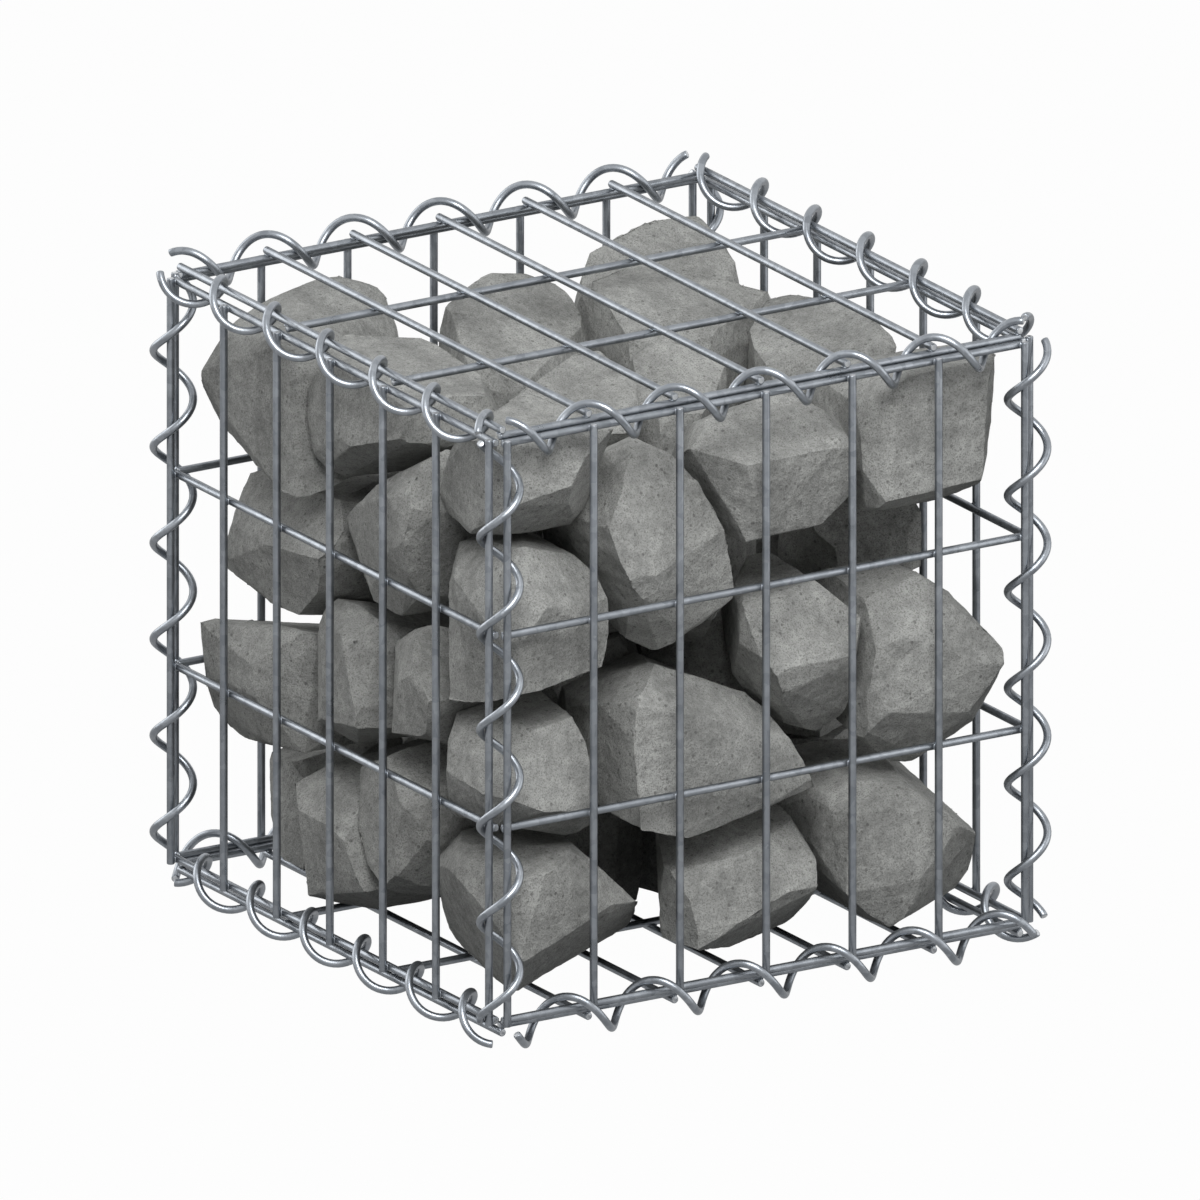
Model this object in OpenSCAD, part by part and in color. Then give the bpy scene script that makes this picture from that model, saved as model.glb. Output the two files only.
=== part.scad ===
// Gabion wall block: a welded mesh basket laced with wire spirals and
// filled with broken stone. Millimetres, +Z up, the front faces -Y.
// The origin is at the middle of the plan, on the ground that the
// lowest turns of the base spirals stand on.

/* [Basket] */
// Width of the basket, from the first to the last upright wire
basket_w = 300; // [240:10:360]
// Depth of the basket, from the first to the last upright wire
basket_d = 300; // [240:10:360]
// Height of the basket, from the lowest to the highest cross wire
basket_h = 300; // [240:10:360]

/* [Mesh] */
// Diameter of the mesh wire
wire_d = 4; // [3:0.1:4.8]
// Cells across a panel, each one wire pitch wide
cells_across = 6; // [5:1:8]
// Rows of cells up a panel, each one cross wire pitch high
rows_up = 3; // [2:1:4]
// How far the two wires sink into each other at a weld
weld_sink = 0.4; // [0.3:0.05:0.6]

/* [Spirals] */
// Diameter of a lacing spiral, from wire middle to wire middle
spiral_d = 19.7; // [19.2:0.1:22]
// Diameter of the spiral wire
spiral_wire = 4; // [3:0.1:4.3]

/* [Stones] */
// Clearance between the faces of two stones that bear on each other
stone_gap = 0.3; // [0.2:0.05:0.6]

/* [Hidden] */

steel = [0.55, 0.57, 0.58];
stone_grey = [0.50, 0.50, 0.49];

// The cross wires lie inside, the long wires outside, and the inner
// ones of two panels just clear each other where the panels meet.
inner_off = wire_d * 0.75;
outer_off = inner_off + wire_d - weld_sink;

// A long wire runs a little past the last cross wire. A cross wire is
// cut shorter, so that it clears the panel round the corner.
long_over = wire_d / 2 + 0.2;
cross_over = wire_d / 5;

// The mesh corner lies this far above the ground.
turn_r = spiral_d / 2;
floor_z = inner_off + turn_r + spiral_wire / 2;

// Rings to a turn of a spiral, and sides of its wire
turn_rings = 12;
wire_sides = 6;

// Clearance between a piece and the wire that it bears on, and the
// distance from a spiral's middle to the middle of that wire
bearing_gap = 0.3;
seat = turn_r - spiral_wire / 2 - wire_d / 2 - bearing_gap;

// The size of basket that the stones' corners are given in
stone_basket = 300;

// How far the stones may reach towards a side panel, down to the cross
// wires of the base panel, and at 45 degrees towards the base spirals
face_reach = stone_basket / 2 - 2.3;
base_reach = -(inner_off - wire_d / 2 - bearing_gap) * stone_basket / basket_h;
edge_reach = (stone_basket / 2 + outer_off) / sqrt(2) - turn_r - spiral_wire / 2 - 1;

// ---- mesh panels ----

// A bar with eight flats, wire_d across them
module bar(length) {
  cylinder(r = wire_d / 2 / cos(22.5), h = length, center = true, $fn = 8);
}

// A panel lying flat, its outside up: long wires along Y on top of
// cross wires along X.
module mesh_panel(width, length) {
  for (i = [0 : cells_across])
    translate([width * (i / cells_across - 0.5), 0, outer_off])
      rotate([90, 0, 0])
        rotate(22.5)
          bar(length + 2 * long_over);
  for (j = [0 : rows_up])
    translate([0, length * (j / rows_up - 0.5), inner_off])
      rotate([0, 90, 0])
        rotate(22.5)
          bar(width + 2 * cross_over);
}

module base_mesh_panel() {
  color(steel)
    translate([0, 0, floor_z])
      rotate([180, 0, 0])
        mesh_panel(basket_w, basket_d);
}

module lid_mesh_panel() {
  color(steel)
    translate([0, 0, floor_z + basket_h])
      mesh_panel(basket_w, basket_d);
}

module front_mesh_panel() {
  color(steel)
    translate([0, -basket_d / 2, floor_z + basket_h / 2])
      rotate([90, 0, 0])
        mesh_panel(basket_w, basket_h);
}

module back_mesh_panel() {
  color(steel)
    translate([0, basket_d / 2, floor_z + basket_h / 2])
      rotate([90, 0, 180])
        mesh_panel(basket_w, basket_h);
}

module left_mesh_panel() {
  color(steel)
    translate([-basket_w / 2, 0, floor_z + basket_h / 2])
      rotate([90, 0, -90])
        mesh_panel(basket_d, basket_h);
}

module right_mesh_panel() {
  color(steel)
    translate([basket_w / 2, 0, floor_z + basket_h / 2])
      rotate([90, 0, 90])
        mesh_panel(basket_d, basket_h);
}

// ---- lacing spirals ----

// The rings stand a little outside the true turn and the chords
// between them a little inside, so the turn keeps its mean radius.
ring_r = turn_r * 2 / (1 + cos(180 / turn_rings));

function turn_point(a, pitch) =
  [ring_r * cos(a), ring_r * sin(a), pitch * a / 360];
function turn_dir(a, pitch) =
  let (t = [-ring_r * sin(a), ring_r * cos(a), pitch / 2 / PI])
  t / norm(t);

// One right-handed spiral along Z with one turn to a cell, its start
// turned by the angle start.
module spiral(length, start) {
  pitch = length / cells_across;
  n = cells_across * turn_rings;
  points = [
    for (i = [0 : n])
      let (a = 360 * i / turn_rings)
      let (t = turn_dir(a, pitch))
      let (u = [cos(a), sin(a), 0])
      let (w = cross(t, u))
      for (k = [0 : wire_sides - 1])
        let (b = 360 * k / wire_sides)
        turn_point(a, pitch) + spiral_wire / 2 * (cos(b) * u + sin(b) * w)
  ];
  sides = [
    for (i = [0 : n - 1])
      for (k = [0 : wire_sides - 1])
        let (a = i * wire_sides + k)
        let (b = i * wire_sides + (k + 1) % wire_sides)
        for (f = [[a, a + wire_sides, b], [b, a + wire_sides, b + wire_sides]])
          f
  ];
  first_cap = [for (k = [0 : wire_sides - 1]) k];
  last_cap = [for (k = [wire_sides - 1 : -1 : 0]) n * wire_sides + k];
  rotate(start)
    polyhedron(points = points, faces = concat(sides, [first_cap, last_cap]));
}

// An upright spiral bears on the long edge wire of one panel, at 45
// degrees, and so lies this far out past each of the two panels.
hang_far = seat / sqrt(2);
hang_near = outer_off - hang_far;

module upright_spiral(side_x, side_y, out_x, out_y, start) {
  color(steel)
    translate([
      side_x * (basket_w / 2 + out_x),
      side_y * (basket_d / 2 + out_y),
      floor_z
    ])
      spiral(basket_h, start);
}

module front_left_spiral() {
  upright_spiral(-1, -1, hang_near, hang_far, 134.7);
}
module back_left_spiral() {
  upright_spiral(-1, 1, hang_near, hang_far, 55);
}
module front_right_spiral() {
  upright_spiral(1, -1, hang_far, hang_near, 0.8);
}
module back_right_spiral() {
  upright_spiral(1, 1, hang_near, hang_far, 87);
}

// A spiral along X, from left to right, bears on the edge cross wire
// of the lid or the base.
module cross_spiral(side_y, z, start) {
  color(steel)
    translate([-basket_w / 2, side_y * (basket_d / 2 + seat), z])
      rotate([90, 0, 90])
        spiral(basket_w, start);
}

module lid_front_spiral() {
  cross_spiral(-1, floor_z + basket_h + inner_off, 90);
}
module lid_back_spiral() {
  cross_spiral(1, floor_z + basket_h + inner_off, 52.6);
}
module base_front_spiral() {
  cross_spiral(-1, floor_z - inner_off, 183.6);
}
module base_back_spiral() {
  cross_spiral(1, floor_z - inner_off, 275);
}

// A spiral along Y, from front to back, bears on the edge long wire of
// the lid or the base, at about 45 degrees.
side_bearing = 47;
side_out = seat * cos(side_bearing);
side_up = outer_off - seat * sin(side_bearing);

module side_spiral(side_x, z, start) {
  color(steel)
    translate([side_x * (basket_w / 2 + side_out), -basket_d / 2, z])
      rotate([-90, -90, 0])
        spiral(basket_d, start);
}

module lid_left_spiral() {
  side_spiral(-1, floor_z + basket_h + side_up, -66);
}
module lid_right_spiral() {
  side_spiral(1, floor_z + basket_h + side_up, 0);
}
module base_left_spiral() {
  side_spiral(-1, floor_z - side_up, 184);
}
module base_right_spiral() {
  side_spiral(1, floor_z - side_up, 128);
}

// ---- stones ----

// Half the size of a hidden stone in the middle of the fill
core_stone = [40, 40, 41];
// Half the size of a stone on the back face
back_stone = [38, 42, 42];
// Half the size of a stone on the right face
right_stone = [40, 38, 42];

// Corners of a stone that no hand has placed: three rings of five corners round c, at half sizes s,
// turned and made uneven by t so that no two come out alike
function rough(c, s, t) = [
  for (ring = [-1, 0, 1], k = [0:4])
    let (
      a = 72 * k + 36 * ring + 41 * t,
      w = (ring == 0 ? 1.12 : 0.88) * (1 + 0.14 * sin(97 * t + 131 * k + 53 * ring)),
      h = ring + 0.16 * cos(71 * k + 113 * t)
    )
      [c[0] + s[0] * w * cos(a), c[1] + s[1] * w * sin(a), c[2] + s[2] * h]
];

// Every stone as its name, its reach against its neighbours, and its corners. x and y run from the
// middle of the basket, z from the level of the base panel, in a basket of stone_basket each way.
STONES = [
  // Stones that show on the front face, from the top row down
  ["corner_top_stone", 45, [
    [-144, -128, 260], [-143, -104, 284], [-144, -138, 296], [-141, -108, 240], [-128, -55, 242],
    [-125, -54, 253], [-140, -88, 282], [-142, -134, 254], [-136, -145, 262], [-108, -145, 263],
    [-96, -144, 281], [-72, -132, 289], [-77, -105, 230], [-121, -108, 228], [-122, -68, 216],
    [-116, -83, 290], [-77, -55, 288], [-80, -50, 235], [-95, -50, 220]]],
  ["front_top_left_stone", 50, [
    [-67, -146, 209], [-91, -143, 226], [-89, -130, 237], [-80, -130, 257], [-63, -118, 271],
    [-44, -104, 272], [-31, -118, 265], [-20, -126, 251], [-8, -132, 225], [3, -125, 186],
    [-31, -126, 171], [-37, -118, 160], [-55, -112, 170], [-66, -118, 188], [-70, -45, 240],
    [-5, -45, 230], [-10, -45, 190], [-60, -45, 195], [-28, -60, 258]]],
  ["front_top_middle_stone", 45, [
    [-5, -147, 262], [59, -143, 261], [69, -136, 236], [45, -136, 219], [8, -143, 221],
    [-4, -134, 216], [-23, -118, 266], [-12, -128, 270], [-9, -108, 275], [12, -96, 275],
    [34, -109, 283], [50, -112, 278], [65, -118, 268], [10, -60, 258], [55, -50, 255],
    [20, -45, 215], [60, -50, 222], [-8, -70, 232]]],
  ["front_top_right_stone", 48, [
    [92, -142, 290], [138, -143, 280], [133, -145, 230], [76, -146, 228], [77, -125, 214],
    [69, -134, 243], [84, -140, 286], [71, -128, 261], [78, -110, 277], [107, -100, 290],
    [147, -112, 291], [148, -134, 291], [148, -128, 243], [133, -99, 206], [142, -125, 219],
    [140, -55, 265], [88, -50, 270], [85, -45, 215], [135, -55, 218]]],
  ["corner_upper_stone", 58, [
    [-136, -77, 204], [-141, -90, 211], [-147, -128, 202], [-125, -128, 236], [-83, -112, 220],
    [-74, -118, 209], [-72, -128, 198], [-73, -132, 182], [-75, -130, 165], [-97, -138, 165],
    [-139, -146, 162], [-146, -94, 147], [-140, -82, 184], [-120, -146, 208], [-137, -147, 189],
    [-80, -50, 218], [-118, -60, 222], [-72, -50, 155], [-118, -55, 150]]],
  ["front_upper_middle_stone", 42, [
    [8, -118, 181], [47, -112, 185], [52, -118, 185], [72, -130, 166], [63, -140, 148],
    [23, -146, 149], [9, -147, 144], [6, -118, 134], [24, -112, 115], [53, -112, 101],
    [69, -122, 114], [78, -122, 158], [18, -130, 178], [12, -126, 163], [40, -42, 178],
    [65, -42, 182], [62, -42, 125], [45, -42, 135]]],
  ["front_upper_right_stone", 46, [
    [113, -118, 178], [77, -118, 169], [88, -140, 154], [125, -138, 161], [143, -137, 144],
    [147, -146, 139], [146, -145, 132], [132, -130, 158], [128, -122, 167], [147, -126, 126],
    [127, -142, 109], [80, -143, 117], [68, -134, 102],
    [74, -132, 96], [102, -118, 77], [125, -112, 85], [141, -124, 97], [66, -135, 145],
    [132, -50, 165], [88, -45, 178], [85, -42, 105], [132, -45, 110]]],
  ["core_front_stone", 30, [
    [21, -95, 170], [16, -95, 145], [21, -95, 140], [-3, -90, 147], [2, -90, 162],
    [0, -40, 180], [30, -40, 185], [30, -40, 145], [-10, -40, 148]]],
  ["corner_lower_stone", 42, [
    [-138, -80, 130], [-134, -88, 137], [-146, -91, 112], [-147, -128, 111], [-114, -128, 145],
    [-93, -120, 146], [-86, -128, 127], [-85, -138, 99], [-92, -140, 95], [-121, -147, 101],
    [-143, -147, 112], [-142, -87, 95], [-141, -135, 94], [-87, -118, 74], [-74, -115, 76],
    [-130, -70, 79], [-78, -45, 142], [-122, -55, 138], [-72, -45, 80], [-115, -52, 82]]],
  ["front_lower_middle_stone", 52, [
    [-41, -114, 157], [-67, -116, 142], [-78, -112, 129], [-85, -136, 99], [-79, -146, 87],
    [-44, -146, 75], [-37, -146, 72], [-25, -142, 134], [-34, -140, 141], [-63, -140, 149],
    [-21, -147, 91], [6, -143, 80], [53, -125, 80], [54, -128, 88], [54, -122, 99],
    [25, -110, 127], [-62, -45, 125], [-8, -45, 138], [42, -45, 105], [32, -45, 72], [-55, -45, 76]]],
  ["front_bottom_middle_stone", 42, [
    [-43, -122, 50], [-8, -118, 57], [44, -112, 61], [52, -132, 40], [51, -134, 31],
    [22, -143, 34], [-12, -146, 25], [-33, -146, 14], [-53, -142, 22], [-54, -140, 27],
    [69, -107, 17], [56, -97, 2], [22, -100, -6], [-1, -136, 56], [-27, -138, 10],
    [0, -60, 24], [42, -16, 82], [66, -20, 34], [2, -60, -8], [58, -18, -8], [14, -24, 76]]],
  ["front_bottom_right_stone", 44, [
    [107, -112, 75], [75, -118, 78], [57, -112, 70], [53, -112, 45], [56, -126, 66],
    [96, -134, 75], [105, -140, 62], [128, -137, 50], [141, -128, 41], [57, -132, 37],
    [55, -142, 27], [78, -147, 29], [88, -144, 9], [79, -140, 3], [105, -145, 30],
    [144, -115, 17], [137, -112, 7], [119, -100, 69], [60, -138, 67], [125, -42, 76],
    [80, -42, 74], [95, -40, -6], [128, -40, -6], [62, -40, 40]]],
  ["corner_bottom_stone", 48, [
    [-142, -87, 59], [-132, -87, 74], [-125, -40, 46], [-147, -135, 48], [-137, -147, 24],
    [-140, -138, 80], [-120, -146, 73], [-92, -128, 74], [-50, -118, 35], [-74, -132, 41],
    [-93, -138, 36], [-116, -132, 76], [-122, -40, 32], [-118, -36, 19], [-125, -120, -1],
    [-40, -94, 14], [-57, -90, 8], [-51, -116, 32], [-68, -60, 64], [-110, -50, 66],
    [-68, -42, -8], [-102, -44, -8], [-90, -90, -4]]],
  // Stones that show on the left face, from the top row down
  ["left_top_back_stone", 48, [
    [-143, 148, 252], [-142, 148, 247], [-138, 148, 260], [-130, 146, 271], [-113, 142, 283],
    [-80, 148, 290], [-58, 148, 288], [-39, 148, 283], [-36, 138, 276], [-38, 136, 272],
    [-144, 68, 289], [-147, 44, 267], [-147, 41, 247], [-143, 30, 221], [-146, 44, 213],
    [-146, 63, 211], [-135, 103, 216], [-130, 146, 222], [-143, 50, 283], [-65, 75, 225],
    [-58, 125, 225], [-66, 60, 226]]],
  ["left_top_middle_stone", 46, [
    [-88, 83, 288], [-66, 86, 284], [-75, 14, 288], [-77, -11, 286], [-106, -67, 288],
    [-140, 52, 265], [-146, 8, 257], [-146, -2, 255], [-144, -45, 269], [-138, -71, 282],
    [-122, -33, 260], [-134, 37, 228], [-125, 37, 224], [-138, 49, 236], [-138, 35, 294],
    [-109, 28, 290], [-120, 43, 297], [-118, 16, 234], [-62, 0, 240], [-64, -38, 245],
    [-68, 25, 234], [-62, 60, 238]]],
  ["left_upper_middle_stone", 44, [
    [-118, -42, 265], [-132, -31, 253], [-132, 2, 236], [-130, 29, 212], [-130, 33, 200],
    [-132, 19, 186], [-132, 6, 171], [-130, -4, 168], [-130, -24, 170], [-132, -68, 207],
    [-130, -82, 219], [-132, -75, 228], [-147, -62, 218], [-147, -41, 223], [-146, -35, 238],
    [-141, -71, 251], [-130, -60, 264], [-58, -20, 222], [-60, -45, 238], [-60, -5, 172],
    [-60, -48, 176]]],
  ["left_upper_back_stone", 46, [
    [-110, 144, 199], [-118, 142, 196], [-130, 136, 174], [-131, 148, 150], [-122, 122, 140],
    [-128, 89, 139], [-130, 76, 141], [-138, 30, 176], [-130, 29, 196], [-118, 53, 208],
    [-142, 52, 183], [-140, 88, 178], [-142, 33, 186], [-50, 50, 192], [-48, 105, 200],
    [-50, 45, 145], [-48, 100, 142]]],
  ["left_middle_back_stone", 46, [
    [-143, 148, 122], [-139, 148, 124], [-141, 148, 97], [-134, 148, 76], [-128, 141, 66],
    [-128, 127, 64], [-138, 89, 74], [-130, 67, 73], [-126, 67, 80], [-128, 75, 91],
    [-128, 67, 139], [-140, 119, 122], [-146, 88, 99], [-145, 94, 115], [-126, 62, 133],
    [-50, 105, 112], [-58, 142, 108], [-60, 42, 114], [-52, 60, 76], [-55, 115, 72]]],
  ["left_middle_stone", 42, [
    [-122, 66, 153], [-122, 52, 159], [-124, 34, 163], [-126, 2, 161], [-124, -4, 152],
    [-122, 75, 135], [-134, 68, 102], [-136, 59, 97], [-142, 10, 110], [-147, -10, 111],
    [-132, -11, 117], [-146, 8, 152], [-147, 3, 123], [-132, -8, 155], [-125, 25, 89],
    [-60, -33, 140], [-58, 32, 144], [-62, -33, 104], [-58, 28, 96]]],
  ["left_middle_front_stone", 38, [
    [-126, -11, 154], [-126, -30, 166], [-122, -47, 173], [-128, -64, 164], [-132, -75, 124],
    [-138, -73, 121], [-142, -66, 121], [-140, -30, 113], [-143, -42, 145], [-146, -61, 153],
    [-147, -88, 151], [-134, -22, 148], [-138, -49, 167], [-62, -38, 148], [-66, -56, 144],
    [-62, -35, 90], [-68, -55, 90]]],
  ["left_bottom_back_stone", 40, [
    [-102, 148, 48], [-105, 120, 50], [-110, 103, -6], [-110, 118, -6], [-100, 148, -4],
    [-105, 100, 40], [-52, 148, 55], [-48, 105, 66], [-46, 98, -6], [-50, 142, -6]]],
  ["left_bottom_middle_stone", 44, [
    [-124, 89, 59], [-118, 91, 63], [-118, 49, 68], [-140, 58, 49], [-147, -3, 52],
    [-146, -11, 46], [-142, -23, 30], [-138, 59, 46], [-134, 58, 2], [-120, 22, 9],
    [-128, 37, 4], [-132, 12, 66], [-58, 0, 76], [-56, 60, 80], [-56, 66, -6],
    [-58, 5, 10], [-90, 36, -4], [-110, 60, -5], [-108, 34, -4]]],
  ["left_bottom_front_stone", 40, [
    [-122, 21, 104], [-128, -3, 100], [-128, 26, 74], [-136, 7, 52], [-138, -3, 38],
    [-140, -22, 30], [-142, -35, 37], [-132, -54, 64], [-120, -49, 86], [-112, -22, 98],
    [-110, -28, 47], [-108, -10, 21], [-128, -18, 24], [-142, -42, 82], [-60, -10, 98],
    [-58, -45, 92], [-58, -5, 12], [-62, -40, 15], [-70, -52, 20]]],
  // Stones that show through the lid
  ["lid_left_middle_stone", 46, [
    [-44, 80, 286], [-41, 70, 288], [-20, 95, 290], [-8, 100, 292], [10, 105, 293],
    [22, 100, 285], [45, 95, 277], [48, 80, 273], [13, 45, 270], [-18, 20, 270],
    [-57, -5, 265], [-66, -5, 264], [-54, 20, 271], [-47, 45, 278], [-60, 0, 228],
    [-62, 55, 228], [-30, 108, 225], [40, 105, 222], [0, 15, 225]]],
  ["lid_front_left_stone", 38, [
    [-77, -38, 278], [-62, -32, 283], [-43, -20, 285], [-20, -10, 286], [-6, -12, 285],
    [2, -20, 285], [0, -38, 278], [-8, -52, 274], [-33, -92, 263], [-40, -92, 268],
    [-48, -90, 262], [-75, -48, 262], [-66, -20, 225], [-15, -5, 222], [-30, -60, 218],
    [-5, -40, 225]]],
  ["lid_back_stone", 46, [
    [51, 105, 275], [64, 120, 281], [71, 125, 285], [80, 128, 287], [100, 135, 290],
    [124, 140, 290], [139, 142, 290], [146, 138, 286], [147, 128, 279], [147, 110, 270],
    [120, 82, 262], [70, 78, 262], [60, 140, 222], [140, 140, 222], [65, 72, 220],
    [140, 80, 222]]],
  ["lid_centre_stone", 46, [
    [5, 25, 276], [28, 55, 291], [38, 70, 290], [60, 78, 290], [82, 80, 288],
    [105, 82, 286], [116, 80, 282], [125, 72, 280], [130, 65, 277], [133, 50, 272],
    [103, 35, 276], [91, 30, 278], [59, 42, 287], [41, 48, 290], [72, 12, 274],
    [39, 12, 277], [10, 60, 225], [120, 60, 222], [60, 0, 225], [100, 15, 225], [10, 30, 230]]],
  ["lid_middle_stone", 36, [
    [12, -5, 279], [30, 0, 280], [55, 5, 279], [68, 5, 277], [65, -10, 272],
    [59, -28, 267], [18, -65, 259], [0, -75, 258], [-8, -78, 251], [-16, -68, 253],
    [5, -30, 268], [0, -30, 220], [30, 5, 222], [60, 0, 222], [40, -40, 218], [0, -65, 222]]],
  ["lid_right_stone", 42, [
    [100, 25, 276], [120, 35, 277], [129, 30, 279], [137, 18, 281], [146, 0, 281],
    [147, -17, 281], [147, -22, 277], [147, -38, 273], [147, -42, 268], [132, -48, 272],
    [136, -35, 275], [117, 10, 275], [90, -25, 265], [80, -18, 264], [92, -48, 222],
    [140, -42, 218], [92, 15, 222], [140, 28, 222]]],
  // Stones of the right face, seen end on past the front ones
  ["right_upper_front_stone", 40, [
    [147, -70, 160], [147, -72, 170], [145, -70, 189], [140, -58, 188], [128, -55, 151],
    [109, -50, 151], [104, -50, 158], [101, -50, 172], [111, -42, 186], [147, -10, 142],
    [147, -8, 200], [98, -5, 142], [98, -5, 205], [145, -30, 215]]],
  ["right_face_stones", 40, rough([112, 36, 184], right_stone, 1)],
  ["right_face_stones", 40, rough([110, -10, 110], right_stone, 2)],
  ["right_face_stones", 40, rough([110, 50, 112], right_stone, 3)],
  ["right_face_stones", 40, rough([110, -8, 34], right_stone, 4)],
  ["right_face_stones", 40, rough([112, 52, 36], right_stone, 5)],
  // Stones of the back face
  ["back_face_stones", 40, rough([-8, 110, 36], back_stone, 6)],
  ["back_face_stones", 40, rough([54, 108, 34], back_stone, 7)],
  ["back_face_stones", 40, rough([114, 112, 38], back_stone, 8)],
  ["back_face_stones", 40, rough([-10, 108, 110], back_stone, 9)],
  ["back_face_stones", 40, rough([52, 110, 112], back_stone, 10)],
  ["back_face_stones", 40, rough([112, 108, 110], back_stone, 11)],
  ["back_face_stones", 40, rough([-12, 108, 184], back_stone, 12)],
  ["back_face_stones", 40, rough([50, 112, 184], back_stone, 13)],
  ["back_face_stones", 40, rough([112, 108, 182], back_stone, 14)],
  ["back_face_stones", 24, rough([-8, 124, 224], [46, 24, 14], 15)],
  // Stones in the middle, which hold up the rest
  ["core_stones", 40, rough([-24, -8, 36], core_stone, 16)],
  ["core_stones", 40, rough([44, -6, 34], core_stone, 17)],
  ["core_stones", 40, rough([-22, 56, 36], core_stone, 18)],
  ["core_stones", 40, rough([46, 58, 36], core_stone, 19)],
  ["core_stones", 40, rough([-26, -6, 110], core_stone, 20)],
  ["core_stones", 40, rough([44, -8, 112], core_stone, 21)],
  ["core_stones", 40, rough([-24, 58, 112], core_stone, 22)],
  ["core_stones", 40, rough([44, 56, 110], core_stone, 23)],
  ["core_stones", 40, rough([-22, -6, 184], core_stone, 24)],
  ["core_stones", 40, rough([46, -8, 184], core_stone, 25)],
  ["core_stones", 40, rough([-20, 56, 184], core_stone, 26)],
  ["core_stones", 40, rough([46, 54, 184], core_stone, 27)],
];

// Middle of a set of corners
function lo(p, k) = min([for (q = p) q[k]]);
function hi(p, k) = max([for (q = p) q[k]]);
function middle(p) = [for (k = [0:2]) (lo(p, k) + hi(p, k)) / 2];
MIDDLES = [for (s = STONES) middle(s[2])];

// Level of the seat between two stones, along the line from the first's middle to the second's
function seat_at(i, j) =
  let (d = norm(MIDDLES[j] - MIDDLES[i]))
    (d * d + STONES[i][1] * STONES[i][1] - STONES[j][1] * STONES[j][1]) / 2 / d;
// True where a stone would reach past a plane through q, square to n
function passes(p, q, n) = max([for (c = p) (c - q) * n]) > 0;
function seats(i) = [
  for (j = [0:len(STONES) - 1])
    if (j != i && norm(MIDDLES[j] - MIDDLES[i]) < 190)
      let (n = (MIDDLES[j] - MIDDLES[i]) / norm(MIDDLES[j] - MIDDLES[i]),
        q = MIDDLES[i] + n * (seat_at(i, j) - stone_gap / 2))
        if (passes(STONES[i][2], q, n)) [q, n],
  for (n = [[1, 0, 0], [-1, 0, 0], [0, 1, 0], [0, -1, 0]])
    if (passes(STONES[i][2], n * face_reach, n)) [n * face_reach, n],
  for (n = [[1, 0, -1], [-1, 0, -1], [0, 1, -1], [0, -1, -1]] / sqrt(2))
    if (passes(STONES[i][2], n * edge_reach, n)) [n * edge_reach, n],
  if (passes(STONES[i][2], [0, 0, base_reach], [0, 0, -1])) [[0, 0, base_reach], [0, 0, -1]]
];

// All that lies past a plane through q, square to n
module beyond(q, n) {
  translate(q)
    rotate([0, acos(n[2]), atan2(n[1], n[0])])
      translate([-300, -300, 0])
        cube([600, 600, 400]);
}

// One broken stone, cut flat where it sits against a neighbour or on the base
module rock(i) {
  difference() {
    hull()
      polyhedron(points = STONES[i][2], faces = [[for (k = [0:len(STONES[i][2]) - 1]) k]]);
    for (s = seats(i))
      beyond(s[0], s[1]);
  }
}

// The stones of one name, spread with the basket's size
module stones(name) {
  color(stone_grey)
    translate([0, 0, floor_z])
      scale([basket_w, basket_d, basket_h] / stone_basket)
        for (i = [0:len(STONES) - 1])
          if (STONES[i][0] == name)
            rock(i);
}

module corner_top_stone() { stones("corner_top_stone"); }
module front_top_left_stone() { stones("front_top_left_stone"); }
module front_top_middle_stone() { stones("front_top_middle_stone"); }
module front_top_right_stone() { stones("front_top_right_stone"); }
module corner_upper_stone() { stones("corner_upper_stone"); }
module front_upper_middle_stone() { stones("front_upper_middle_stone"); }
module front_upper_right_stone() { stones("front_upper_right_stone"); }
module core_front_stone() { stones("core_front_stone"); }
module corner_lower_stone() { stones("corner_lower_stone"); }
module front_lower_middle_stone() { stones("front_lower_middle_stone"); }
module front_bottom_middle_stone() { stones("front_bottom_middle_stone"); }
module front_bottom_right_stone() { stones("front_bottom_right_stone"); }
module corner_bottom_stone() { stones("corner_bottom_stone"); }
module left_top_back_stone() { stones("left_top_back_stone"); }
module left_top_middle_stone() { stones("left_top_middle_stone"); }
module left_upper_middle_stone() { stones("left_upper_middle_stone"); }
module left_upper_back_stone() { stones("left_upper_back_stone"); }
module left_middle_back_stone() { stones("left_middle_back_stone"); }
module left_middle_stone() { stones("left_middle_stone"); }
module left_middle_front_stone() { stones("left_middle_front_stone"); }
module left_bottom_back_stone() { stones("left_bottom_back_stone"); }
module left_bottom_middle_stone() { stones("left_bottom_middle_stone"); }
module left_bottom_front_stone() { stones("left_bottom_front_stone"); }
module lid_left_middle_stone() { stones("lid_left_middle_stone"); }
module lid_front_left_stone() { stones("lid_front_left_stone"); }
module lid_back_stone() { stones("lid_back_stone"); }
module lid_centre_stone() { stones("lid_centre_stone"); }
module lid_middle_stone() { stones("lid_middle_stone"); }
module lid_right_stone() { stones("lid_right_stone"); }
module right_upper_front_stone() { stones("right_upper_front_stone"); }
module right_face_stones() { stones("right_face_stones"); }
module back_face_stones() { stones("back_face_stones"); }
module core_stones() { stones("core_stones"); }

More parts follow.
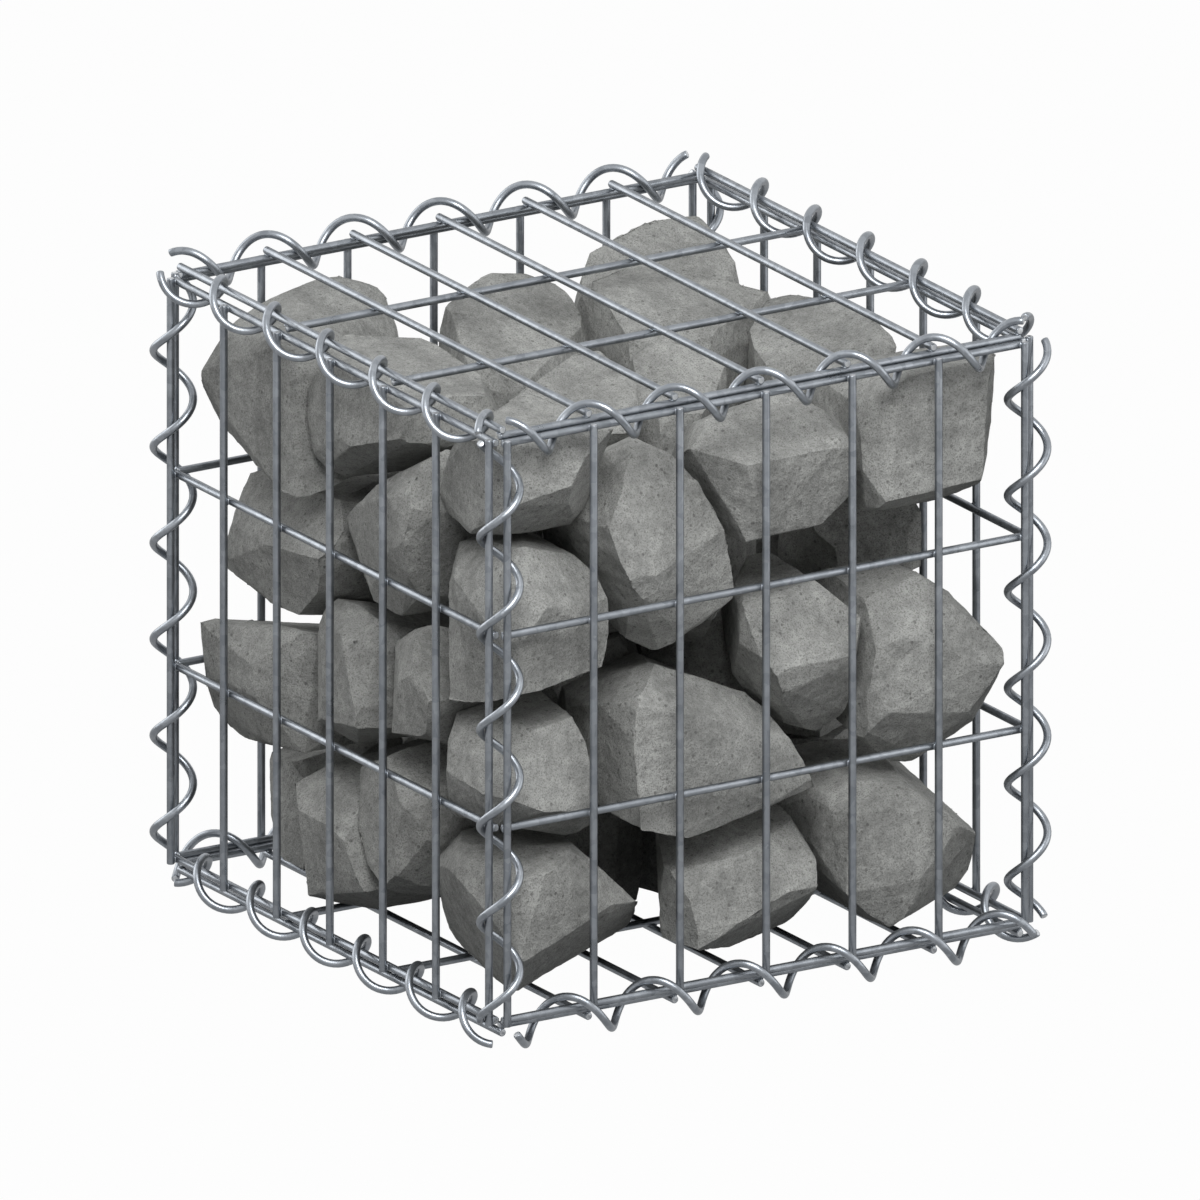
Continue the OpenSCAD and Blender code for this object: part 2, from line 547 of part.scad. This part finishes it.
base_mesh_panel();
front_mesh_panel();
back_mesh_panel();
left_mesh_panel();
right_mesh_panel();
lid_mesh_panel();
front_left_spiral();
front_right_spiral();
back_left_spiral();
back_right_spiral();
base_front_spiral();
base_back_spiral();
base_left_spiral();
base_right_spiral();
lid_front_spiral();
lid_back_spiral();
lid_left_spiral();
lid_right_spiral();
corner_top_stone();
front_top_left_stone();
front_top_middle_stone();
front_top_right_stone();
corner_upper_stone();
front_upper_middle_stone();
front_upper_right_stone();
core_front_stone();
corner_lower_stone();
front_lower_middle_stone();
front_bottom_middle_stone();
front_bottom_right_stone();
corner_bottom_stone();
left_top_back_stone();
left_top_middle_stone();
left_upper_middle_stone();
left_upper_back_stone();
left_middle_back_stone();
left_middle_stone();
left_middle_front_stone();
left_bottom_back_stone();
left_bottom_middle_stone();
left_bottom_front_stone();
lid_left_middle_stone();
lid_front_left_stone();
lid_back_stone();
lid_centre_stone();
lid_middle_stone();
lid_right_stone();
right_upper_front_stone();
right_face_stones();
back_face_stones();
core_stones();
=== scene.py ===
# Gabion wall block: a basket of welded mesh panels, laced together with
# wire spirals and filled with broken stone.
import math
import random

import bpy
from mathutils import Matrix, Vector


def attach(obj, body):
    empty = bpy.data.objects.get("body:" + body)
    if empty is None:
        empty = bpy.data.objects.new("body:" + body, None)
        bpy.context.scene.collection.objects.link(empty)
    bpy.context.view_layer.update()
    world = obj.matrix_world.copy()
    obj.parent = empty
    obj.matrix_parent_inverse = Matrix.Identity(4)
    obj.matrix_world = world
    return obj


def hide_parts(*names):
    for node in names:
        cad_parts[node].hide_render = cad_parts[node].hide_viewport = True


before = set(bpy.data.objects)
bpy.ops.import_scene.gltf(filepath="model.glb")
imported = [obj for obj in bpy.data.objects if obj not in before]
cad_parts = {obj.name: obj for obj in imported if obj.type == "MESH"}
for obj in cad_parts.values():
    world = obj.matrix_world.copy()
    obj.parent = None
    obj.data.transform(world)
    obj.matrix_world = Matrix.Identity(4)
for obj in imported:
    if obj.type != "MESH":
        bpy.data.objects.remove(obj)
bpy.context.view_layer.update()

# ---- The place it is looked at from ----
# From above the front left corner, aimed at the basket's middle and
# without perspective, so that the wires of opposite panels stay parallel.
MM = 0.001
BASE_LEVEL = 14.85 * MM
CAMERA_AWAY = 2200 * MM
basket_middle = Vector((0, 0, BASE_LEVEL + 150 * MM))
azimuth = math.radians(-31.59)
elevation = math.radians(18.19)
towards_eye = Vector((
    math.sin(azimuth) * math.cos(elevation),
    -math.cos(azimuth) * math.cos(elevation),
    math.sin(elevation),
))
camera_data = bpy.data.cameras.new("camera")
camera_data.type = "ORTHO"
camera_data.ortho_scale = 592.5 * MM
camera = bpy.data.objects.new("camera", camera_data)
bpy.context.scene.collection.objects.link(camera)
camera.location = basket_middle + CAMERA_AWAY * towards_eye
camera.rotation_euler = towards_eye.to_track_quat("Z", "Y").to_euler()
bpy.context.scene.camera = camera


# ---- Mesh panels ----
# Six panels of drawn steel wire, hot-dip galvanised after welding. Four
# cross wires lie inside and seven long wires outside, and the welding
# press sinks each pair into each other and squeezes out a small bead.
WIRE_R = 2.0 * MM
CELL_W = 50 * MM
CELL_H = 100 * MM
INNER = 3.0 * MM
OUTER = 6.6 * MM
EDGE = 150 * MM
TOP = 300 * MM
LONG_WIRE = 304.4 * MM
CROSS_WIRE = 301.6 * MM
END_ROUND = 0.5 * MM
BEAD_R = 2.1 * MM
BEAD_HALF = 0.75 * MM
# A face with more corners than this is a round one that closes a wire's end
WIRE_FACE_CORNERS = 8
# Where smooth shading of a wire gives way to a crisp edge, in degrees
WIRE_CRISP = 50


def only(piece):
    """Selects one piece and nothing else."""
    bpy.ops.object.select_all(action="DESELECT")
    piece.select_set(True)
    bpy.context.view_layer.objects.active = piece


def settle(piece, matrix):
    """Puts a piece in its place for good, its object left at the origin."""
    piece.matrix_world = matrix
    bpy.context.view_layer.update()
    only(piece)
    bpy.ops.object.transform_apply(location=True, rotation=True, scale=True)


def another(piece, name):
    """A copy of a piece with a mesh of its own."""
    twin = piece.copy()
    twin.data = piece.data.copy()
    twin.name = twin.data.name = name
    bpy.context.scene.collection.objects.link(twin)
    return twin


def weld_together(pieces, name):
    """Joins pieces into one object."""
    bpy.ops.object.select_all(action="DESELECT")
    for piece in pieces:
        piece.select_set(True)
    bpy.context.view_layer.objects.active = pieces[0]
    bpy.ops.object.join()
    whole = bpy.context.view_layer.objects.active
    whole.name = whole.data.name = name
    return whole


def smooth_over(piece, angle):
    """Smooth shading, with edges sharper than the angle left crisp."""
    only(piece)
    bpy.ops.object.shade_smooth_by_angle(angle=math.radians(angle))


def cropped_wire(length, way):
    """A straight wire round the origin, its cropped ends slightly rounded."""
    bpy.ops.object.select_all(action="DESELECT")
    bpy.ops.mesh.primitive_cylinder_add(vertices=20, radius=WIRE_R, depth=length)
    wire = bpy.context.object
    bpy.ops.object.mode_set(mode="EDIT")
    bpy.ops.mesh.select_all(action="DESELECT")
    bpy.ops.object.mode_set(mode="OBJECT")
    for face in wire.data.polygons:
        face.select = abs(face.normal.z) > 0.9
    bpy.ops.object.mode_set(mode="EDIT")
    bpy.ops.mesh.bevel(offset=END_ROUND, segments=3, affect="EDGES")
    bpy.ops.object.mode_set(mode="OBJECT")
    turn = Vector((0, 0, 1)).rotation_difference(Vector(way)).to_matrix().to_4x4()
    settle(wire, turn)
    return wire


def weld_bead(place):
    """The lens of metal that the welding press squeezes out round a joint."""
    bpy.ops.object.select_all(action="DESELECT")
    bpy.ops.mesh.primitive_uv_sphere_add(segments=14, ring_count=8, radius=1.0)
    bead = bpy.context.object
    size = Matrix.Diagonal((BEAD_R, BEAD_R, BEAD_HALF, 1))
    settle(bead, Matrix.Translation(place) @ size)
    return bead


def linear(code):
    """An sRGB hex colour as the linear one that Blender works in."""
    parts = [int(code[i:i + 2], 16) / 255 for i in (1, 3, 5)]
    parts = [c / 12.92 if c <= 0.04045 else ((c + 0.055) / 1.055) ** 2.4 for c in parts]
    return (*parts, 1.0)


def node(material, kind, settings=None, links=None):
    """Adds one node: its settings by name, and what feeds its sockets."""
    made = material.node_tree.nodes.new(kind)
    for key, value in (settings or {}).items():
        if isinstance(key, int) or key in made.inputs:
            made.inputs[key].default_value = value
        else:
            setattr(made, key, value)
    for key, source in (links or {}).items():
        material.node_tree.links.new(source, made.inputs[key])
    return made


# Galvanised steel wire: hot-dip zinc gone dull, which gives a satin
# grey with a blue tinge and a faint cloudy spangle.
zinc = bpy.data.materials.new("galvanised_steel_wire")
zinc.use_nodes = True
zinc.node_tree.nodes.clear()
where = node(zinc, "ShaderNodeTexCoord").outputs["Object"]
# Spangle grains about 4 mm across, and clouding about 17 mm across
spangle = node(zinc, "ShaderNodeTexVoronoi", {"Scale": 240.0, "Randomness": 1.0},
               {"Vector": where})
clouding = node(zinc, "ShaderNodeTexNoise",
                {"Scale": 60.0, "Detail": 5.0, "Roughness": 0.6}, {"Vector": where})
tone = node(zinc, "ShaderNodeMix", {"data_type": "FLOAT", 0: 0.35},
            {2: clouding.outputs["Fac"], 3: spangle.outputs["Color"]})
zinc_colour = node(zinc, "ShaderNodeValToRGB", {}, {"Fac": tone.outputs[0]})
zinc_colour.color_ramp.elements[0].position = 0.25
zinc_colour.color_ramp.elements[0].color = linear("#7b8086")
zinc_colour.color_ramp.elements[1].position = 0.75
zinc_colour.color_ramp.elements[1].color = linear("#9ea3a9")
dullness = node(zinc, "ShaderNodeMapRange",
                {"From Min": 0.3, "From Max": 0.7, "To Min": 0.26, "To Max": 0.42},
                {"Value": clouding.outputs["Fac"]})
# Grain of the zinc, about a millimetre across
grain = node(zinc, "ShaderNodeTexNoise", {"Scale": 900.0, "Detail": 3.0},
             {"Vector": where})
zinc_bump = node(zinc, "ShaderNodeBump", {"Strength": 0.12, "Distance": 0.0004},
                 {"Height": grain.outputs["Fac"]})
zinc_shader = node(zinc, "ShaderNodeBsdfPrincipled", {"Metallic": 0.9},
                   {"Base Color": zinc_colour.outputs["Color"],
                    "Roughness": dullness.outputs["Result"],
                    "Normal": zinc_bump.outputs["Normal"]})
node(zinc, "ShaderNodeOutputMaterial", {}, {"Surface": zinc_shader.outputs["BSDF"]})

# Bare steel where the cropping tool went through the wire: brighter and
# smoother than the zinc, so the ends catch the light.
cut_steel = bpy.data.materials.new("bare_cut_steel")
cut_steel.use_nodes = True
cut_steel.node_tree.nodes.clear()
cut_shader = node(cut_steel, "ShaderNodeBsdfPrincipled",
                  {"Base Color": linear("#cbced1"), "Metallic": 0.8, "Roughness": 0.35})
node(cut_steel, "ShaderNodeOutputMaterial", {}, {"Surface": cut_shader.outputs["BSDF"]})


def galvanise(piece):
    """Coats a wire piece with zinc, all but its cropped end faces."""
    piece.data.materials.clear()
    piece.data.materials.append(zinc)
    piece.data.materials.append(cut_steel)
    for face in piece.data.polygons:
        face.material_index = 1 if len(face.vertices) > WIRE_FACE_CORNERS else 0


wires = []
for column in range(7):
    wire = cropped_wire(LONG_WIRE, (0, 1, 0))
    settle(wire, Matrix.Translation(((column - 3) * CELL_W, 0, OUTER)))
    wires.append(wire)
for row in range(4):
    wire = cropped_wire(CROSS_WIRE, (1, 0, 0))
    settle(wire, Matrix.Translation((0, (row - 1.5) * CELL_H, INNER)))
    wires.append(wire)
weld_level = (INNER + OUTER) / 2
for column in range(7):
    for row in range(4):
        bead = weld_bead(((column - 3) * CELL_W, (row - 1.5) * CELL_H, weld_level))
        wires.append(bead)
flat_panel = weld_together(wires, "flat_panel")
galvanise(flat_panel)
smooth_over(flat_panel, WIRE_CRISP)

upright = Matrix.Rotation(math.radians(90), 4, "X")
panel_places = {
    "base_mesh_panel": (Vector((0, 0, BASE_LEVEL)), Matrix.Rotation(math.pi, 4, "X")),
    "lid_mesh_panel": (Vector((0, 0, BASE_LEVEL + TOP)), Matrix.Identity(4)),
    "front_mesh_panel": (basket_middle + Vector((0, -EDGE, 0)), upright),
    "back_mesh_panel": (basket_middle + Vector((0, EDGE, 0)),
                        Matrix.Rotation(math.pi, 4, "Z") @ upright),
    "left_mesh_panel": (basket_middle + Vector((-EDGE, 0, 0)),
                        Matrix.Rotation(-math.pi / 2, 4, "Z") @ upright),
    "right_mesh_panel": (basket_middle + Vector((EDGE, 0, 0)),
                         Matrix.Rotation(math.pi / 2, 4, "Z") @ upright),
}
for name, (place, turn) in panel_places.items():
    panel = another(flat_panel, name.replace("mesh_panel", "welded_mesh"))
    settle(panel, Matrix.Translation(place) @ turn)
    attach(panel, "root")
    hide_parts(name)
bpy.data.objects.remove(flat_panel)


# ---- Lacing spirals ----
# Twelve right-handed spirals of the same galvanised wire, one along
# each edge, screwed in by hand through the cells of the two panels that
# meet there and cropped at both ends.
TURN_R = 9.85 * MM
PITCH = 50 * MM
TURNS = 6
BEARING_GAP = 0.3 * MM
SEAT = TURN_R - 2 * WIRE_R - BEARING_GAP
FAR = SEAT / math.sqrt(2)
NEAR = OUTER - FAR
SIDE_LEAN = math.radians(47)
SIDE_OUT = SEAT * math.cos(SIDE_LEAN)
SIDE_UP = OUTER - SEAT * math.sin(SIDE_LEAN)


def lacing_spiral(name, place, turn, start):
    """One spiral of six turns, made along Z and then laid in its place."""
    climb = math.atan2(PITCH, 2 * math.pi * TURN_R)
    bpy.ops.object.select_all(action="DESELECT")
    bpy.ops.mesh.primitive_circle_add(vertices=16, radius=WIRE_R)
    spiral = bpy.context.object
    spiral.name = spiral.data.name = name
    lean = Matrix.Rotation(climb - math.pi / 2, 4, "X")
    settle(spiral, Matrix.Translation((TURN_R, 0, 0)) @ lean)
    screw = spiral.modifiers.new("screw", "SCREW")
    screw.axis = "Z"
    screw.angle = 2 * math.pi
    screw.screw_offset = PITCH
    screw.iterations = TURNS
    screw.steps = screw.render_steps = 36
    bpy.ops.object.modifier_apply(modifier=screw.name)
    bpy.ops.object.mode_set(mode="EDIT")
    bpy.ops.mesh.select_all(action="SELECT")
    bpy.ops.mesh.remove_doubles(threshold=0.01 * MM)
    bpy.ops.mesh.fill_holes(sides=0)
    bpy.ops.mesh.select_all(action="SELECT")
    bpy.ops.mesh.normals_make_consistent(inside=False)
    bpy.ops.mesh.select_all(action="DESELECT")
    bpy.ops.object.mode_set(mode="OBJECT")
    for face in spiral.data.polygons:
        face.select = len(face.vertices) > WIRE_FACE_CORNERS
    bpy.ops.object.mode_set(mode="EDIT")
    bpy.ops.mesh.bevel(offset=END_ROUND, segments=2, affect="EDGES")
    bpy.ops.object.mode_set(mode="OBJECT")
    begin = Matrix.Rotation(math.radians(start), 4, "Z")
    settle(spiral, Matrix.Translation(place) @ turn @ begin)
    galvanise(spiral)
    smooth_over(spiral, WIRE_CRISP)
    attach(spiral, "root")
    return spiral


standing = Matrix.Identity(4)
along_x = Matrix.Rotation(math.radians(90), 4, "Z") @ Matrix.Rotation(math.radians(90), 4, "X")
along_y = Matrix.Rotation(math.radians(-90), 4, "Y") @ Matrix.Rotation(math.radians(-90), 4, "X")
spiral_places = {
    "front_left_spiral": ((-EDGE - NEAR, -EDGE - FAR, 0), standing, 134.7),
    "front_right_spiral": ((EDGE + FAR, -EDGE - NEAR, 0), standing, 0.8),
    "back_left_spiral": ((-EDGE - NEAR, EDGE + FAR, 0), standing, 55),
    "back_right_spiral": ((EDGE + NEAR, EDGE + FAR, 0), standing, 87),
    "lid_front_spiral": ((-EDGE, -EDGE - SEAT, TOP + INNER), along_x, 90),
    "lid_back_spiral": ((-EDGE, EDGE + SEAT, TOP + INNER), along_x, 52.6),
    "base_front_spiral": ((-EDGE, -EDGE - SEAT, -INNER), along_x, 183.6),
    "base_back_spiral": ((-EDGE, EDGE + SEAT, -INNER), along_x, 275),
    "lid_left_spiral": ((-EDGE - SIDE_OUT, -EDGE, TOP + SIDE_UP), along_y, -66),
    "lid_right_spiral": ((EDGE + SIDE_OUT, -EDGE, TOP + SIDE_UP), along_y, 0),
    "base_left_spiral": ((-EDGE - SIDE_OUT, -EDGE, -SIDE_UP), along_y, 184),
    "base_right_spiral": ((EDGE + SIDE_OUT, -EDGE, -SIDE_UP), along_y, 128),
}
for name, (place, turn, start) in spiral_places.items():
    foot = Vector(place) + Vector((0, 0, BASE_LEVEL))
    spiral = lacing_spiral(name.replace("spiral", "lacing"), foot, turn, start)
    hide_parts(name)


# ---- Broken stones ----
# Quarried stone split by a crusher: blunt lumps of 50 to 120 mm with
# flat broken faces, edges worn round by handling, and small chips.
# Each is worked up from its closed CAD solid.
FLAKES = 9
# CAD edges shorter than this are closed up, and so are those of the flakes
SHORT_EDGE = 1.6 * MM
SHORT_FLAKE_EDGE = 1.5 * MM
# Faces that meet at less than this are one face, in degrees
FLAT = 13
WORN_EDGE = 0.5 * MM
SLIVER = 0.15 * MM
SWELLING_HEIGHT = 1.1 * MM
CHIP_HEIGHT = 0.9 * MM

# Broken stone: a dry, fine-grained grey rock with no gloss, mottled,
# full of dark specks and pits, with faint pale and dark bedding streaks.
stone = bpy.data.materials.new("broken_grey_stone")
stone.use_nodes = True
stone.node_tree.nodes.clear()
where = node(stone, "ShaderNodeTexCoord").outputs["Object"]
# Patches about 50 mm across
patches = node(stone, "ShaderNodeTexNoise",
               {"Scale": 20.0, "Detail": 4.0, "Roughness": 0.55}, {"Vector": where})
# Mottling about 5 mm across
mottle = node(stone, "ShaderNodeTexNoise",
              {"Scale": 190.0, "Detail": 6.0, "Roughness": 0.7}, {"Vector": where})
tone = node(stone, "ShaderNodeMix", {"data_type": "FLOAT", 0: 0.55},
            {2: patches.outputs["Fac"], 3: mottle.outputs["Fac"]})
ground_tone = node(stone, "ShaderNodeValToRGB", {}, {"Fac": tone.outputs[0]})
ground_tone.color_ramp.elements[0].position = 0.34
ground_tone.color_ramp.elements[0].color = linear("#7b7c7a")
ground_tone.color_ramp.elements[1].position = 0.66
ground_tone.color_ramp.elements[1].color = linear("#b0b1ae")
# Bedding streaks about 8 mm thick and 70 mm long
drawn_out = node(stone, "ShaderNodeMapping",
                 {"Rotation": (0.5, 0.35, 0.6), "Scale": (14.0, 14.0, 120.0)},
                 {"Vector": where})
streaks = node(stone, "ShaderNodeTexNoise",
               {"Scale": 1.0, "Detail": 4.0, "Distortion": 0.6},
               {"Vector": drawn_out.outputs["Vector"]})
streak_amount = node(stone, "ShaderNodeMapRange",
                     {"From Min": 0.38, "From Max": 0.64, "To Min": 0.93, "To Max": 1.05},
                     {"Value": streaks.outputs["Fac"]})
streaked = node(stone, "ShaderNodeMix",
                {"data_type": "RGBA", "blend_type": "MULTIPLY", 0: 1.0},
                {6: ground_tone.outputs["Color"], 7: streak_amount.outputs["Result"]})
# Dark grains a little under 1 mm across, all over, and pits about 2 mm
# across and 7 mm apart
grains = node(stone, "ShaderNodeTexNoise",
              {"Scale": 1250.0, "Detail": 2.0, "Roughness": 0.6}, {"Vector": where})
grain_mask = node(stone, "ShaderNodeMapRange",
                  {"From Min": 0.36, "From Max": 0.5, "To Min": 0.62, "To Max": 0.0},
                  {"Value": grains.outputs["Fac"]})
pits = node(stone, "ShaderNodeTexVoronoi", {"Scale": 150.0}, {"Vector": where})
pit_mask = node(stone, "ShaderNodeMapRange",
                {"From Min": 0.1, "From Max": 0.16, "To Min": 0.55, "To Max": 0.0},
                {"Value": pits.outputs["Distance"]})
grainy = node(stone, "ShaderNodeMix", {"data_type": "RGBA", 7: linear("#5f5e5c")},
              {0: grain_mask.outputs["Result"], 6: streaked.outputs[2]})
speckled = node(stone, "ShaderNodeMix", {"data_type": "RGBA", 7: linear("#4a4948")},
                {0: pit_mask.outputs["Result"], 6: grainy.outputs[2]})
# Grain of about 1.5 mm over hollows of about 5 mm
grit = node(stone, "ShaderNodeTexNoise",
            {"Scale": 650.0, "Detail": 4.0, "Roughness": 0.65}, {"Vector": where})
grit_bump = node(stone, "ShaderNodeBump", {"Strength": 0.45, "Distance": 0.0009},
                 {"Height": grit.outputs["Fac"]})
hollow_bump = node(stone, "ShaderNodeBump", {"Strength": 0.65, "Distance": 0.002},
                   {"Height": mottle.outputs["Fac"], "Normal": grit_bump.outputs["Normal"]})
stone_shader = node(stone, "ShaderNodeBsdfPrincipled",
                    {"Roughness": 0.92, "Specular IOR Level": 0.25},
                    {"Base Color": speckled.outputs[2],
                     "Normal": hollow_bump.outputs["Normal"]})
node(stone, "ShaderNodeOutputMaterial", {}, {"Surface": stone_shader.outputs["BSDF"]})


def relief(name, across, octaves):
    """A cloudy relief whose swellings are that far across."""
    cloud = bpy.data.textures.new(name, "CLOUDS")
    cloud.noise_scale = across
    cloud.noise_depth = octaves
    return cloud


chance = random.Random(7)
swellings = relief("swellings", 22 * MM, 3)
chips = relief("chips", 6 * MM, 2)


def spalled(lump, skew, depth):
    """Splits flat flakes off a lump's largest faces, each askew to its face."""
    largest = sorted(lump.data.polygons, key=lambda face: -face.area)[:FLAKES]
    ways = [face.normal.copy() for face in largest]
    for way in ways:
        askew = Vector([chance.uniform(-1, 1) for _ in range(3)]).cross(way).normalized()
        turn = Matrix.Rotation(math.radians(chance.uniform(*skew)), 3, askew)
        normal = turn @ way
        reach = max(corner.co.dot(normal) for corner in lump.data.vertices)
        level = reach - chance.uniform(*depth) * MM
        bpy.ops.object.mode_set(mode="EDIT")
        bpy.ops.mesh.select_all(action="SELECT")
        bpy.ops.mesh.bisect(plane_co=level * normal, plane_no=normal, use_fill=True,
                            clear_outer=True)
        bpy.ops.object.mode_set(mode="OBJECT")


def cut_fine(lump, spacing):
    """Cuts a lump's faces across all three ways, so that they can bend.

    Slivers are closed up, because they would fold over when they bend.
    """
    low, high = (Vector(corner) for corner in (lump.bound_box[0], lump.bound_box[6]))
    bpy.ops.object.mode_set(mode="EDIT")
    for way in range(3):
        normal = [0, 0, 0]
        normal[way] = 1
        place = low.copy()
        place[way] += spacing / 2
        while place[way] < high[way]:
            bpy.ops.mesh.select_all(action="SELECT")
            bpy.ops.mesh.bisect(plane_co=place, plane_no=normal)
            place[way] += spacing
    bpy.ops.mesh.select_all(action="SELECT")
    bpy.ops.mesh.dissolve_degenerate(threshold=SLIVER)
    bpy.ops.object.mode_set(mode="OBJECT")


def weathered(lump, skew, depth, fineness):
    """Gives one closed lump its flakes, worn edges, hollows and chips."""
    only(lump)
    bpy.ops.object.mode_set(mode="EDIT")
    bpy.ops.mesh.select_all(action="SELECT")
    bpy.ops.mesh.remove_doubles(threshold=SHORT_EDGE)
    bpy.ops.mesh.dissolve_limited(angle_limit=math.radians(FLAT))
    bpy.ops.object.mode_set(mode="OBJECT")
    spalled(lump, skew, depth)
    bpy.ops.object.mode_set(mode="EDIT")
    bpy.ops.mesh.select_all(action="SELECT")
    bpy.ops.mesh.remove_doubles(threshold=SHORT_FLAKE_EDGE)
    bpy.ops.mesh.bevel(offset=WORN_EDGE, segments=2, affect="EDGES", clamp_overlap=True)
    bpy.ops.mesh.remove_doubles(threshold=0.05 * MM)
    bpy.ops.mesh.quads_convert_to_tris()
    bpy.ops.object.mode_set(mode="OBJECT")
    cut_fine(lump, fineness)
    for cloud, height in ((swellings, SWELLING_HEIGHT), (chips, CHIP_HEIGHT)):
        hollow = lump.modifiers.new(cloud.name, "DISPLACE")
        hollow.texture = cloud
        hollow.texture_coords = "LOCAL"
        hollow.strength = height
        # Nearly all inwards: no stone swells by more than 0.2 mm
        hollow.mid_level = 0.9
        bpy.ops.object.modifier_apply(modifier=hollow.name)


def broken_stone(cad_name, name, skew, depth, fineness):
    """Works up the stones of one CAD node, each by itself.

    Skew, in degrees, and depth, in millimetres, are the ranges of its flakes.
    """
    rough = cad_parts[cad_name]
    piece = bpy.data.objects.new(name, rough.data.copy())
    bpy.context.scene.collection.objects.link(piece)
    only(piece)
    bpy.ops.object.mode_set(mode="EDIT")
    bpy.ops.mesh.select_all(action="SELECT")
    bpy.ops.mesh.remove_doubles(threshold=0.02 * MM)
    bpy.ops.mesh.separate(type="LOOSE")
    bpy.ops.object.mode_set(mode="OBJECT")
    lumps = list(bpy.context.selected_objects)
    for lump in lumps:
        weathered(lump, skew, depth, fineness)
    piece = weld_together(lumps, name)
    piece.data.materials.clear()
    piece.data.materials.append(stone)
    smooth_over(piece, FLAT)
    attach(piece, "root")
    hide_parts(cad_name)


for cad_name in sorted(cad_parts):
    name = cad_name.replace("stone", "broken_stone")
    if cad_name.endswith("_stone"):
        broken_stone(cad_name, name, skew=(11, 20), depth=(1.2, 3.4), fineness=3.3 * MM)
    elif cad_name.endswith("_face_stones"):
        # Blocky ones, which take deeper flakes off their corners
        broken_stone(cad_name, name, skew=(20, 38), depth=(3, 7), fineness=5.5 * MM)
    elif cad_name == "core_stones":
        broken_stone(cad_name, name, skew=(11, 20), depth=(1.2, 3.4), fineness=7 * MM)


# ---- Floor and light ----
# A pale floor and plain studio light: one large lamp high on the front
# left, a softer one on the right and one behind.
FLOOR_SIZE = 8.0
LAMP_AWAY = 1600 * MM
bpy.ops.object.select_all(action="DESELECT")
bpy.ops.mesh.primitive_plane_add(size=FLOOR_SIZE)
floor = bpy.context.object
floor.name = "floor"
paper = bpy.data.materials.new("white_paper_floor")
paper.use_nodes = True
paper.node_tree.nodes.clear()
# White to the eye, about half as bright in the wires' reflections, and a
# matt grey that throws little light back onto the stones
rays = node(paper, "ShaderNodeLightPath")
matt = node(paper, "ShaderNodeBsdfDiffuse", {"Color": linear("#5c5c5c")})
glow = node(paper, "ShaderNodeEmission", {"Color": (1, 1, 1, 1), "Strength": 1.0})
in_wires = node(paper, "ShaderNodeMath", {"operation": "MULTIPLY", 1: 0.55},
                {0: rays.outputs["Is Glossy Ray"]})
share = node(paper, "ShaderNodeMath", {"operation": "MULTIPLY_ADD", 1: 0.98},
             {0: rays.outputs["Is Camera Ray"], 2: in_wires.outputs[0]})
lit_paper = node(paper, "ShaderNodeMixShader", {},
                 {0: share.outputs[0], 1: matt.outputs[0], 2: glow.outputs[0]})
node(paper, "ShaderNodeOutputMaterial", {}, {"Surface": lit_paper.outputs[0]})
floor.data.materials.append(paper)


def soft_lamp(name, azimuth, elevation, power, size):
    """A square lamp 1.6 m from the basket, aimed at its middle."""
    a, e = math.radians(azimuth), math.radians(elevation)
    way = Vector((math.sin(a) * math.cos(e), -math.cos(a) * math.cos(e), math.sin(e)))
    data = bpy.data.lights.new(name, "AREA")
    data.energy = power
    data.size = size
    lamp = bpy.data.objects.new(name, data)
    bpy.context.scene.collection.objects.link(lamp)
    lamp.location = basket_middle + LAMP_AWAY * way
    lamp.rotation_euler = way.to_track_quat("Z", "Y").to_euler()


soft_lamp("key_lamp", azimuth=-30, elevation=46, power=23, size=0.8)
soft_lamp("side_lamp", azimuth=50, elevation=15, power=5, size=1.2)
soft_lamp("back_lamp", azimuth=-150, elevation=18, power=9, size=1.2)

world = bpy.data.worlds.new("studio")
bpy.context.scene.world = world
world.use_nodes = True
world.node_tree.nodes.clear()
rays = node(world, "ShaderNodeLightPath")
seen = node(world, "ShaderNodeMath", {"operation": "MAXIMUM"},
            {0: rays.outputs["Is Camera Ray"], 1: rays.outputs["Is Glossy Ray"]})
seen_too = node(world, "ShaderNodeMath", {"operation": "MAXIMUM"},
                {0: seen.outputs[0], 1: rays.outputs["Is Transmission Ray"]})
room = node(world, "ShaderNodeBackground", {"Color": (1, 1, 1, 1), "Strength": 0.5})
white = node(world, "ShaderNodeBackground", {"Color": (1, 1, 1, 1), "Strength": 1.0})
sky = node(world, "ShaderNodeMixShader", {},
           {0: seen_too.outputs[0], 1: room.outputs[0], 2: white.outputs[0]})
node(world, "ShaderNodeOutputWorld", {}, {"Surface": sky.outputs[0]})

bpy.context.scene.view_settings.view_transform = "Standard"
